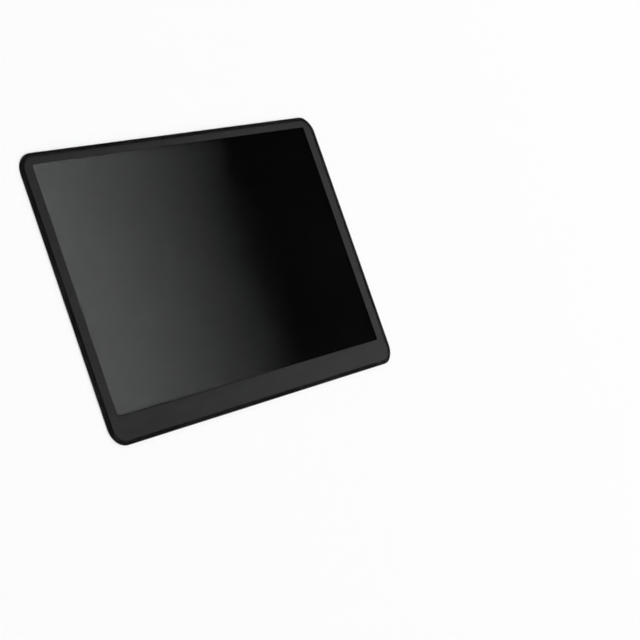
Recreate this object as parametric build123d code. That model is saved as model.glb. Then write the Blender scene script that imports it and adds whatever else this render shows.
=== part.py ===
"""Laptop privacy filter: a micro-louvre film between a grey front border and a black rear border.

The filter lies face up on its magnetic strips. X runs along its width, Y from its bottom edge to its
top edge, and Z out of its front face. The origin is under the centre of the panel, on the surface that
the strips rest on. All sizes are in millimetres.
"""

import os

from build123d import *

# Window, the picture area of a 13.3-inch screen with sides of 16 to 10
WINDOW_WIDTH = 286.5
WINDOW_HEIGHT = 179.0
WINDOW_CORNER_RADIUS = 1.5

# Border from the window out to the cut edge of the panel
SIDE_BORDER = 12.0
TOP_BORDER = 8.2
BOTTOM_BORDER = 20.0
PANEL_CORNER_RADIUS = 13.5

# Dark rim of bare film that shows round the front border, at its two sides and at its top and bottom
SIDE_RIM = 4.2
END_RIM = 3.0

# The rear border's window is wider than the front one by this on every side, so it stays out of sight
REAR_WINDOW_SETBACK = 0.5

# Thickness of each layer, from the rear to the front
STRIP_THICKNESS = 0.4
REAR_BORDER_THICKNESS = 0.1
FILM_THICKNESS = 0.45
FRONT_BORDER_THICKNESS = 0.15

# Magnetic strips, set in from both edges of the rear border's narrow top side and from the panel's sides
STRIP_MARGIN = 1.5
STRIP_END_INSET = 18.0
STRIP_CORNER_RADIUS = 1.2
STRIP_WIDTH = TOP_BORDER - REAR_WINDOW_SETBACK - 2 * STRIP_MARGIN

# Overall size of the panel and the height of its window's centre above the panel's own centre
PANEL_WIDTH = WINDOW_WIDTH + 2 * SIDE_BORDER
PANEL_HEIGHT = WINDOW_HEIGHT + TOP_BORDER + BOTTOM_BORDER
WINDOW_CENTRE_Y = (BOTTOM_BORDER - TOP_BORDER) / 2

# Height at which each layer starts
REAR_BORDER_Z = STRIP_THICKNESS
FILM_Z = REAR_BORDER_Z + REAR_BORDER_THICKNESS
FRONT_BORDER_Z = FILM_Z + FILM_THICKNESS


def sheet(width, height, corner_radius, thickness, bottom_z, centre_y=0.0):
    """A flat sheet with rounded corners, cut to width and height."""
    outline = Pos(0, centre_y, bottom_z) * RectangleRounded(width, height, corner_radius)
    return extrude(outline, thickness, dir=(0, 0, 1))


def window_cut(setback, corner_radius, thickness, bottom_z):
    """The block that opens the window in a border, wider than the window by the setback all round."""
    width = WINDOW_WIDTH + 2 * setback
    height = WINDOW_HEIGHT + 2 * setback
    return sheet(width, height, corner_radius, thickness, bottom_z, WINDOW_CENTRE_Y)


def louvre_film():
    """The optical film, which runs to the cut edge of the panel."""
    return sheet(PANEL_WIDTH, PANEL_HEIGHT, PANEL_CORNER_RADIUS, FILM_THICKNESS, FILM_Z)


def front_border():
    """The grey border on the film's front face, set in from the cut edge by the rim."""
    outer = sheet(
        PANEL_WIDTH - 2 * SIDE_RIM,
        PANEL_HEIGHT - 2 * END_RIM,
        PANEL_CORNER_RADIUS - SIDE_RIM,
        FRONT_BORDER_THICKNESS,
        FRONT_BORDER_Z,
    )
    return outer - window_cut(0.0, WINDOW_CORNER_RADIUS, FRONT_BORDER_THICKNESS, FRONT_BORDER_Z)


def rear_border():
    """The black border behind the film, out to the cut edge of the panel."""
    outer = sheet(PANEL_WIDTH, PANEL_HEIGHT, PANEL_CORNER_RADIUS, REAR_BORDER_THICKNESS, REAR_BORDER_Z)
    corner_radius = WINDOW_CORNER_RADIUS + REAR_WINDOW_SETBACK
    return outer - window_cut(REAR_WINDOW_SETBACK, corner_radius, REAR_BORDER_THICKNESS, REAR_BORDER_Z)


def magnet_strip(edge_y, inward):
    """A magnetic strip along the panel's top or bottom edge, behind the rear border.

    edge_y is the height of that edge and inward the sign of the direction from it to the window.
    """
    return sheet(
        PANEL_WIDTH - 2 * STRIP_END_INSET,
        STRIP_WIDTH,
        STRIP_CORNER_RADIUS,
        STRIP_THICKNESS,
        0.0,
        edge_y + inward * (STRIP_MARGIN + STRIP_WIDTH / 2),
    )


PARTS = {
    "louvre_film": louvre_film(),
    "front_border": front_border(),
    "rear_border": rear_border(),
    "magnet_strip_top": magnet_strip(PANEL_HEIGHT / 2, -1),
    "magnet_strip_bottom": magnet_strip(-PANEL_HEIGHT / 2, 1),
}

os.makedirs("parts", exist_ok=True)
for node, shape in PARTS.items():
    export_step(shape, f"parts/{node}.step")
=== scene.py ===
"""Looks of the laptop privacy filter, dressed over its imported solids.

The filter lies face up. X runs along its width, Y from its bottom edge to its top edge and Z out of
its front. Lengths are in metres, apart from the camera's lens and sensor, which are in millimetres.
"""

import logging
import math
from dataclasses import dataclass, field, replace
from enum import Enum

import bmesh
import bpy
from mathutils import Matrix, Vector


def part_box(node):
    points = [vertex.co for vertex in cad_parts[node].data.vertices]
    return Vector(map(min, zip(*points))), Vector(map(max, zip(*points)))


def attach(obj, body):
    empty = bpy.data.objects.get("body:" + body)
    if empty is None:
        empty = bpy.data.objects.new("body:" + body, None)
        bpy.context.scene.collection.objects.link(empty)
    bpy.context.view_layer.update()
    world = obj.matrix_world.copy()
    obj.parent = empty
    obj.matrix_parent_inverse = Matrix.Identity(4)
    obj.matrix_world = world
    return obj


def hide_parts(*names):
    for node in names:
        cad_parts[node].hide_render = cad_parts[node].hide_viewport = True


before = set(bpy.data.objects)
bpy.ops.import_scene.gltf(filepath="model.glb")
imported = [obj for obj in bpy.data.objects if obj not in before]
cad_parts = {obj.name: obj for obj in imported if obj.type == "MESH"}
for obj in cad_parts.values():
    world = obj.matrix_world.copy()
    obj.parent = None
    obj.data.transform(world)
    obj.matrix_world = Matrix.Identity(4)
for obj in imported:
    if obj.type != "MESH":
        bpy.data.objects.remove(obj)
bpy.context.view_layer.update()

log = logging.getLogger("privacy_filter")

ROOT_BODY = "root"

# A colour's red, green and blue, a factor along each axis, and a lowest and a highest value
Shade = tuple[float, float, float]
Stretch = tuple[float, float, float]
Span = tuple[float, float]

# Lengths and directions
MM = 0.001
SAME_PLACE = 0.001 * MM
UP = Vector((0.0, 0.0, 1.0))

# What counts as an upright wall and as a cut edge
UPRIGHT_NORMAL_Z = 0.5
SHARP_ANGLE = math.radians(60.0)

# Roundings of corners and cut edges
CORNER_STEPS = 16
EDGE_STEPS = 2
ROUND_PROFILE = 0.5
KEEP_MATERIAL = -1

# Values of shader sockets
WHITE: Shade = (1.0, 1.0, 1.0)
NO_SHEEN = 0.0
SEE_THROUGH = 1.0


class Node(Enum):
    """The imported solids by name."""

    FILM = "louvre_film"
    FRONT_BORDER = "front_border"
    REAR_BORDER = "rear_border"
    STRIP_TOP = "magnet_strip_top"
    STRIP_BOTTOM = "magnet_strip_bottom"


class Walls(Enum):
    """Which of a solid's upright walls are meant."""

    OUTER = "outer"
    WINDOW = "window"


def opaque(shade: Shade) -> tuple[float, float, float, float]:
    """The four values that a colour socket takes for a shade."""
    return (*shade, 1.0)


class ShaderGraph:
    """A node tree under construction for one material."""

    # Most of a noise lies between these two values
    NOISE_LOW = 0.3
    NOISE_HIGH = 0.7

    def __init__(self, name: str) -> None:
        """Starts a material with a bare surface shader.

        Args:
            name: The material's name.
        """
        self.material = bpy.data.materials.new(name)
        self.material.use_nodes = True
        self.tree = self.material.node_tree
        self.tree.nodes.clear()
        output = self.tree.nodes.new("ShaderNodeOutputMaterial")
        self.surface = self.tree.nodes.new("ShaderNodeBsdfPrincipled")
        self.link(self.surface.outputs["BSDF"], output.inputs["Surface"])

    def link(self, source: bpy.types.NodeSocket, target: bpy.types.NodeSocket) -> None:
        """Joins two sockets."""
        self.tree.links.new(source, target)

    def set(self, **values: float | tuple[float, ...]) -> None:
        """Sets sockets of the surface shader by name, with underscores for spaces."""
        for name, value in values.items():
            self.surface.inputs[name.replace("_", " ")].default_value = value

    def noise(
        self,
        scale: float,
        detail: float,
        roughness: float = 0.5,
        stretch: Stretch = (1.0, 1.0, 1.0),
    ) -> bpy.types.NodeSocket:
        """Lays a noise over the object's own coordinates.

        Args:
            scale: Features per metre.
            detail: Octaves of finer noise.
            roughness: Strength of each octave as a share of the one before it.
            stretch: Factor on the coordinates along each axis; a small one draws the noise out.

        Returns:
            The noise's value socket, from 0 to 1.
        """
        coordinates = self.tree.nodes.new("ShaderNodeTexCoord")
        mapping = self.tree.nodes.new("ShaderNodeMapping")
        mapping.inputs["Scale"].default_value = stretch
        noise = self.tree.nodes.new("ShaderNodeTexNoise")
        noise.inputs["Scale"].default_value = scale
        noise.inputs["Detail"].default_value = detail
        noise.inputs["Roughness"].default_value = roughness
        self.link(coordinates.outputs["Object"], mapping.inputs["Vector"])
        self.link(mapping.outputs["Vector"], noise.inputs["Vector"])
        return noise.outputs["Fac"]

    def mottle(self, source: bpy.types.NodeSocket, dark: Shade, light: Shade) -> None:
        """Colours the surface between two shades.

        Args:
            source: The noise that chooses between them.
            dark: The shade where the noise is low.
            light: The shade where it is high.
        """
        ramp = self.tree.nodes.new("ShaderNodeValToRGB")
        first, last = ramp.color_ramp.elements
        first.position = self.NOISE_LOW
        first.color = opaque(dark)
        last.position = self.NOISE_HIGH
        last.color = opaque(light)
        self.link(source, ramp.inputs["Fac"])
        self.link(ramp.outputs["Color"], self.surface.inputs["Base Color"])

    def roughen(self, source: bpy.types.NodeSocket, smooth: float, rough: float) -> None:
        """Varies how rough the surface is.

        Args:
            source: The noise that it varies by.
            smooth: The roughness where the noise is low.
            rough: The roughness where it is high.
        """
        spread = self.tree.nodes.new("ShaderNodeMapRange")
        spread.inputs["From Min"].default_value = self.NOISE_LOW
        spread.inputs["From Max"].default_value = self.NOISE_HIGH
        spread.inputs["To Min"].default_value = smooth
        spread.inputs["To Max"].default_value = rough
        self.link(source, spread.inputs["Value"])
        self.link(spread.outputs["Result"], self.surface.inputs["Roughness"])

    def grain(self, source: bpy.types.NodeSocket, depth: float) -> None:
        """Raises a grain from the surface.

        Args:
            source: The noise that shapes the grain.
            depth: Height of the grain.
        """
        bump = self.tree.nodes.new("ShaderNodeBump")
        bump.inputs["Distance"].default_value = depth
        self.link(source, bump.inputs["Height"])
        self.link(bump.outputs["Normal"], self.surface.inputs["Normal"])


@dataclass(frozen=True)
class MatteSheetFinish:
    """A matte plastic sheet with a fine grain and a faint change of shade.

    Attributes:
        name: The material's name.
        dark: The darkest shade.
        light: The lightest shade.
        roughness: Roughness in the low and in the high parts of the grain.
        specular: Strength of the sheen.
        grain_per_metre: Features of the grain per metre.
        grain_depth: Height of the grain.
        shades_per_metre: Changes of shade per metre.
        shade_detail: Octaves of finer change.
        shade_roughness: Strength of each octave as a share of the one before it.
        shade_stretch: Factor along each axis; a small one draws the shades out.
        grain_detail: Octaves of finer grain.
    """

    name: str
    dark: Shade
    light: Shade
    roughness: Span
    specular: float
    grain_per_metre: float
    grain_depth: float
    shades_per_metre: float = 90.0
    shade_detail: float = 7.0
    shade_roughness: float = 0.8
    shade_stretch: Stretch = (0.25, 1.0, 1.0)
    grain_detail: float = 2.0

    def material(self) -> bpy.types.Material:
        """Mixes the finish.

        Returns:
            The finish as a material.
        """
        graph = ShaderGraph(self.name)
        graph.set(Specular_IOR_Level=self.specular)
        shades = graph.noise(
            self.shades_per_metre, self.shade_detail, self.shade_roughness, self.shade_stretch
        )
        graph.mottle(shades, self.dark, self.light)
        fine = graph.noise(self.grain_per_metre, self.grain_detail)
        graph.roughen(fine, *self.roughness)
        graph.grain(fine, self.grain_depth)
        return graph.material


@dataclass(frozen=True)
class PlainFinish:
    """A dull finish of one shade, for the floor and for louvres that are too fine to show a grain.

    Attributes:
        name: The material's name.
        shade: Its one shade.
        roughness: Its roughness.
    """

    name: str
    shade: Shade
    roughness: float

    def material(self) -> bpy.types.Material:
        """Mixes the finish.

        Returns:
            The finish as a material.
        """
        graph = ShaderGraph(self.name)
        graph.set(
            Base_Color=opaque(self.shade), Roughness=self.roughness, Specular_IOR_Level=NO_SHEEN
        )
        return graph.material


@dataclass(frozen=True)
class ClearFilmFinish:
    """The clear resin of the film, with a soft anti-glare face that shows faint wipe marks.

    Attributes:
        name: The material's name.
        tint: Colour of the resin.
        index: Refractive index, set low for a low-reflection coat.
        roughness: Lowest and highest roughness of the face.
        wipe_marks_per_metre: Wipe marks per metre.
        wipe_mark_detail: Octaves of finer marks.
        wipe_mark_stretch: Factor along each axis; a small one draws the marks out.
    """

    name: str
    tint: Shade
    index: float
    roughness: Span
    wipe_marks_per_metre: float
    wipe_mark_detail: float = 5.0
    wipe_mark_stretch: Stretch = (0.4, 1.0, 1.0)

    def material(self) -> bpy.types.Material:
        """Mixes the finish.

        Returns:
            The finish as a material.
        """
        graph = ShaderGraph(self.name)
        graph.set(Base_Color=opaque(self.tint), IOR=self.index, Transmission_Weight=SEE_THROUGH)
        marks = graph.noise(
            self.wipe_marks_per_metre, self.wipe_mark_detail, stretch=self.wipe_mark_stretch
        )
        graph.roughen(marks, *self.roughness)
        return graph.material


BORDER_FINISH = MatteSheetFinish(
    name="border_matte_grey",
    dark=(0.0082, 0.0086, 0.0084),
    light=(0.0158, 0.0166, 0.0162),
    roughness=(0.34, 0.56),
    specular=0.24,
    grain_per_metre=2200.0,
    grain_depth=0.03 * MM,
)
REAR_FINISH = MatteSheetFinish(
    name="rear_border_black",
    dark=(0.0048, 0.0048, 0.0048),
    light=(0.0112, 0.0112, 0.0112),
    roughness=(0.38, 0.60),
    specular=0.03,
    grain_per_metre=1800.0,
    grain_depth=0.03 * MM,
)
MAGNET_FINISH = MatteSheetFinish(
    name="flexible_magnet",
    dark=(0.012, 0.0115, 0.011),
    light=(0.022, 0.021, 0.02),
    roughness=(0.7, 0.85),
    specular=0.3,
    grain_per_metre=1500.0,
    grain_depth=0.04 * MM,
)
LOUVRE_FINISH = PlainFinish(name="louvre_black", shade=(0.0015, 0.0015, 0.0015), roughness=0.85)
FLOOR_FINISH = PlainFinish(name="floor_pale", shade=(0.95, 0.95, 0.95), roughness=0.9)
FILM_FINISH = ClearFilmFinish(
    name="clear_film",
    tint=(0.96, 0.97, 0.97),
    index=1.12,
    roughness=(0.12, 0.17),
    wipe_marks_per_metre=30.0,
)


def place(item: bpy.types.Object) -> bpy.types.Object:
    """Puts an object in the scene."""
    bpy.context.scene.collection.objects.link(item)
    return item


def as_piece(name: str, mesh: bmesh.types.BMesh, material: bpy.types.Material) -> bpy.types.Object:
    """Turns a finished bmesh into an object with one material.

    Args:
        name: The piece's name.
        mesh: The bmesh, which is freed.
        material: The material of all its faces.

    Returns:
        The new object.
    """
    data = bpy.data.meshes.new(name)
    mesh.to_mesh(data)
    mesh.free()
    data.materials.append(material)
    return place(bpy.data.objects.new(name, data))


def carry(piece: bpy.types.Object) -> bpy.types.Object:
    """Lets a piece ride with the filter.

    Args:
        piece: The piece.

    Returns:
        The same piece.
    """
    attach(piece, ROOT_BODY)
    return piece


def stand_for(piece: bpy.types.Object, node: Node) -> bpy.types.Object:
    """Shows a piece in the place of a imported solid."""
    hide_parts(node.value)
    return carry(piece)


@dataclass(frozen=True)
class Outline:
    """A rectangle with rounded corners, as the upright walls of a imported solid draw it.

    Attributes:
        low: The corner with the lowest coordinates, at the foot of the walls.
        high: The corner with the highest coordinates, at the top of the walls.
        radius: Radius of the rounded corners.
    """

    low: Vector
    high: Vector
    radius: float

    @classmethod
    def of(cls, node: Node, walls: Walls = Walls.OUTER) -> "Outline":
        """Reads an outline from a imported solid.

        Args:
            node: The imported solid.
            walls: Its outer walls, or those of its window, which face its middle.

        Returns:
            The outline, whose two corners also span the solid's thickness.
        """
        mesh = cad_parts[node.value].data
        box_low, box_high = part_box(node.value)
        middle = (box_low + box_high) / 2
        inward = walls is Walls.WINDOW
        points = [
            mesh.vertices[index].co
            for face in mesh.polygons
            if abs(face.normal.z) < UPRIGHT_NORMAL_Z
            and (face.normal.dot(middle - face.center) > 0.0) == inward
            for index in face.vertices
        ]
        by_axis = list(zip(*points))
        low = Vector([min(values) for values in by_axis])
        high = Vector([max(values) for values in by_axis])
        side_end = max(point.y for point in points if high.x - point.x < SAME_PLACE)
        return cls(low, high, high.y - side_end)

    def middle(self) -> Vector:
        """Centre of the outline, halfway up its walls."""
        return (self.low + self.high) / 2

    def size(self) -> Vector:
        """Width, height and thickness."""
        return self.high - self.low

    def draw(self, mesh: bmesh.types.BMesh) -> None:
        """Draws the outline as one flat face at its lower level.

        Args:
            mesh: The bmesh to draw in.
        """
        half = self.size() / 2
        seat = Matrix.Translation((self.middle().x, self.middle().y, self.low.z))
        stretch = Matrix.Diagonal((half.x, half.y, 1.0, 1.0))
        corners = bmesh.ops.create_grid(
            mesh, x_segments=1, y_segments=1, size=1.0, matrix=seat @ stretch
        )["verts"]
        bmesh.ops.bevel(
            mesh, geom=corners, offset=self.radius, offset_type="ABSOLUTE", segments=CORNER_STEPS,
            profile=ROUND_PROFILE, affect="VERTICES", material=KEEP_MATERIAL,
        )


def cut_sheet(
    outline: Outline, edge_radius: float, window: Outline | None = None
) -> bmesh.types.BMesh:
    """Cuts a sheet to its outline, opens its window and rounds its edges over.

    Args:
        outline: The sheet's outline, which also gives its thickness.
        edge_radius: Radius of the rounding along every cut edge.
        window: The outline of the opening through it, if it has one.

    Returns:
        The closed bmesh of the sheet.
    """
    mesh = bmesh.new()
    outline.draw(mesh)
    if window:
        window.draw(mesh)
        bmesh.ops.delete(mesh, geom=mesh.faces[:], context="FACES_ONLY")
        bmesh.ops.bridge_loops(mesh, edges=mesh.edges[:])
    grown = bmesh.ops.extrude_face_region(mesh, geom=mesh.faces[:], use_keep_orig=True)["geom"]
    front = [item for item in grown if isinstance(item, bmesh.types.BMVert)]
    bmesh.ops.translate(mesh, verts=front, vec=UP * outline.size().z)
    bmesh.ops.recalc_face_normals(mesh, faces=mesh.faces[:])
    cut_edges = [edge for edge in mesh.edges if edge.calc_face_angle() > SHARP_ANGLE]
    bmesh.ops.bevel(
        mesh, geom=cut_edges, offset=edge_radius, segments=EDGE_STEPS, profile=ROUND_PROFILE,
        affect="EDGES", material=KEEP_MATERIAL,
    )
    return mesh


@dataclass
class LouvreFilm:
    """The optical film: its clear resin and the row of black louvres that runs inside it.

    Attributes:
        pitch: Distance from one louvre to the next.
        blade: Thickness of a louvre.
        cut_off_deg: Angle from straight ahead, in air, at which the louvres close the view.
        overlap: How far the louvres run on beyond the window on each side.
        bond: Room for the bond between the film and the rear border.
        edge_radius: Radius along the film's cut edges.
        finish: Finish of the clear resin.
        louvre_finish: Finish of the louvres.
    """

    pitch: float = 0.08 * MM
    blade: float = 0.006 * MM
    cut_off_deg: float = 48.5
    overlap: float = 1.0 * MM
    bond: float = 0.03 * MM
    edge_radius: float = 0.04 * MM
    finish: ClearFilmFinish = FILM_FINISH
    louvre_finish: PlainFinish = LOUVRE_FINISH

    def sheet(self) -> bpy.types.Object:
        """Cuts the clear sheet, with room for the bond behind it.

        Returns:
            The clear sheet.
        """
        outline = Outline.of(Node.FILM)
        above_bond = replace(outline, low=outline.low + UP * self.bond)
        mesh = cut_sheet(above_bond, self.edge_radius)
        return as_piece("film_sheet", mesh, self.finish.material())

    def louvre_height(self) -> float:
        """Height at which the louvres close the view at the cut-off angle in air."""
        inside = math.asin(math.sin(math.radians(self.cut_off_deg)) / self.finish.index)
        return (self.pitch - self.blade) / math.tan(inside)

    def louvres(self) -> bpy.types.Object:
        """Builds the louvres under the whole window and a little beyond it.

        Returns:
            The object that holds every louvre.
        """
        window = Outline.of(Node.FRONT_BORDER, Walls.WINDOW)
        width = window.size().x + 2 * self.overlap
        length = window.size().y + 2 * self.overlap
        count = round(width / self.pitch)
        first_x = window.middle().x - (count - 1) * self.pitch / 2
        middle_z = Outline.of(Node.FILM).middle().z
        seat = Matrix.Translation((first_x, window.middle().y, middle_z))
        stretch = Matrix.Diagonal((self.blade, length, self.louvre_height(), 1.0))
        mesh = bmesh.new()
        bmesh.ops.create_cube(mesh, size=1.0, matrix=seat @ stretch)
        louvres = as_piece("louvres", mesh, self.louvre_finish.material())
        row = louvres.modifiers.new("row", "ARRAY")
        row.count = count
        row.use_relative_offset = False
        row.use_constant_offset = True
        row.constant_offset_displace = (self.pitch, 0.0, 0.0)
        return louvres

    def build(self) -> list[bpy.types.Object]:
        """Builds the clear sheet and the louvres inside it.

        Returns:
            The two pieces.
        """
        sheet = self.sheet()
        louvres = self.louvres()
        stand_for(sheet, Node.FILM)
        carry(louvres)
        return [sheet, louvres]


@dataclass
class Borders:
    """The grey border on the front and the black one behind the film.

    Attributes:
        front_edge_radius: Radius along the grey border's cut edges.
        rear_edge_radius: Radius along the black border's cut edges.
        front_finish: Finish of the grey border.
        rear_finish: Finish of the black border.
    """

    front_edge_radius: float = 0.04 * MM
    rear_edge_radius: float = 0.02 * MM
    front_finish: MatteSheetFinish = BORDER_FINISH
    rear_finish: MatteSheetFinish = REAR_FINISH

    def border(
        self, name: str, node: Node, edge_radius: float, finish: MatteSheetFinish
    ) -> bpy.types.Object:
        """Cuts a border with its window, to stand for a packed one."""
        mesh = cut_sheet(Outline.of(node), edge_radius, Outline.of(node, Walls.WINDOW))
        return stand_for(as_piece(name, mesh, finish.material()), node)

    def build(self) -> list[bpy.types.Object]:
        """Builds both borders.

        Returns:
            The front border and the rear border.
        """
        front = self.border(
            "grey_border", Node.FRONT_BORDER, self.front_edge_radius, self.front_finish
        )
        rear = self.border(
            "black_border", Node.REAR_BORDER, self.rear_edge_radius, self.rear_finish
        )
        return [front, rear]


@dataclass
class MagnetStrips:
    """The two flexible magnets behind the film.

    Attributes:
        edge_radius: Radius along their cut edges.
        finish: Their finish.
    """

    edge_radius: float = 0.08 * MM
    finish: MatteSheetFinish = MAGNET_FINISH

    def build(self) -> list[bpy.types.Object]:
        """Builds both strips.

        Returns:
            The top strip and the bottom strip.
        """
        material = self.finish.material()
        strips = {"top_magnet": Node.STRIP_TOP, "bottom_magnet": Node.STRIP_BOTTOM}
        return [
            stand_for(as_piece(name, cut_sheet(Outline.of(node), self.edge_radius), material), node)
            for name, node in strips.items()
        ]


def bearing(azimuth_deg: float, elevation_deg: float) -> Vector:
    """Unit vector to a place round the filter.

    Args:
        azimuth_deg: Angle round Z, from the filter's bottom edge towards its right.
        elevation_deg: Angle above the floor.

    Returns:
        The vector from the filter to that place.
    """
    azimuth = math.radians(azimuth_deg)
    elevation = math.radians(elevation_deg)
    return Vector((
        math.cos(elevation) * math.sin(azimuth),
        -math.cos(elevation) * math.cos(azimuth),
        math.sin(elevation),
    ))


@dataclass
class Studio:
    """A pale floor, soft light from above and a camera placed as the photograph's was.

    Each azimuth and elevation is an angle as bearing takes it. A height in the sky is the upward
    part of a direction: 0 is level and 1 is straight up.
    """

    # Floor
    floor_half: float = 8.0
    floor_finish: PlainFinish = FLOOR_FINISH

    # Sky
    horizon_strength: float = 0.95
    zenith_strength: float = 0.12
    horizon_height: float = 0.25
    zenith_height: float = 0.5

    # Sun
    sun_strength: float = 2.72
    sun_spread_deg: float = 40.0
    sun_azimuth_deg: float = 0.0
    sun_elevation_deg: float = 60.0

    # Softbox
    softbox_power: float = 26.0
    softbox_size: float = 2.0
    softbox_distance: float = 5.0
    softbox_azimuth_deg: float = 88.0
    softbox_elevation_deg: float = 22.0

    # Camera
    target: Vector = field(default_factory=lambda: Vector((86.28, -56.6, 0.0)) * MM)
    distance: float = 1344.7 * MM
    azimuth_deg: float = -85.585
    elevation_deg: float = 40.334
    roll_deg: float = 67.93
    lens_mm: float = 98.8
    sensor_mm: float = 36.0

    def floor(self) -> None:
        """Lays the floor under the filter."""
        mesh = bmesh.new()
        bmesh.ops.create_grid(mesh, x_segments=1, y_segments=1, size=self.floor_half)
        as_piece("floor", mesh, self.floor_finish.material())

    def sky(self) -> None:
        """Sets a sky that is white round the horizon and dim overhead."""
        world = bpy.data.worlds.new("studio")
        world.use_nodes = True
        tree = world.node_tree
        direction = tree.nodes.new("ShaderNodeTexCoord")
        split = tree.nodes.new("ShaderNodeSeparateXYZ")
        fade = tree.nodes.new("ShaderNodeMapRange")
        fade.inputs["From Min"].default_value = self.horizon_height
        fade.inputs["From Max"].default_value = self.zenith_height
        fade.inputs["To Min"].default_value = self.horizon_strength
        fade.inputs["To Max"].default_value = self.zenith_strength
        sky = tree.nodes["Background"]
        sky.inputs["Color"].default_value = opaque(WHITE)
        tree.links.new(direction.outputs["Generated"], split.inputs["Vector"])
        tree.links.new(split.outputs["Z"], fade.inputs["Value"])
        tree.links.new(fade.outputs["Result"], sky.inputs["Strength"])
        bpy.context.scene.world = world

    def sun(self) -> None:
        """Hangs the broad soft lamp high up on the side of the filter's bottom edge."""
        lamp = bpy.data.lights.new("sun", "SUN")
        lamp.energy = self.sun_strength
        lamp.angle = math.radians(self.sun_spread_deg)
        self.hang(lamp, bearing(self.sun_azimuth_deg, self.sun_elevation_deg))

    def softbox(self) -> None:
        """Stands a faint softbox beyond the filter's right edge, which lifts the sheen there."""
        lamp = bpy.data.lights.new("softbox", "AREA")
        lamp.energy = self.softbox_power
        lamp.size = self.softbox_size
        towards = bearing(self.softbox_azimuth_deg, self.softbox_elevation_deg)
        self.hang(lamp, towards * self.softbox_distance)

    def hang(self, lamp: bpy.types.Light, position: Vector) -> None:
        """Puts a lamp in its place, turned to the filter.

        Args:
            lamp: The lamp.
            position: Its place, from the filter.
        """
        item = place(bpy.data.objects.new(lamp.name, lamp))
        item.location = position
        item.rotation_euler = position.to_track_quat("Z", "Y").to_euler()

    def camera(self) -> None:
        """Places the camera by its angles round the target and rolls it as the photograph is."""
        back = bearing(self.azimuth_deg, self.elevation_deg)
        level = UP.cross(back).normalized()
        right = Matrix.Rotation(math.radians(self.roll_deg), 3, back) @ level
        top = back.cross(right)
        lens = bpy.data.cameras.new("camera")
        lens.lens = self.lens_mm
        lens.sensor_width = self.sensor_mm
        camera = place(bpy.data.objects.new("camera", lens))
        turn = Matrix((right, top, back)).transposed().to_4x4()
        camera.matrix_world = Matrix.Translation(self.target + back * self.distance) @ turn
        bpy.context.scene.camera = camera

    def build(self) -> None:
        """Sets up the floor, the light and the camera."""
        self.floor()
        self.sky()
        self.sun()
        self.softbox()
        self.camera()
        bpy.context.scene.view_settings.view_transform = "Standard"


def main() -> None:
    """Builds every sub-assembly and the studio."""
    logging.basicConfig(level=logging.INFO, format="%(name)s: %(message)s")
    for assembly in (LouvreFilm(), Borders(), MagnetStrips()):
        for piece in assembly.build():
            log.info("%s has %d faces", piece.name, len(piece.data.polygons))
    Studio().build()


if __name__ == "__main__":
    main()
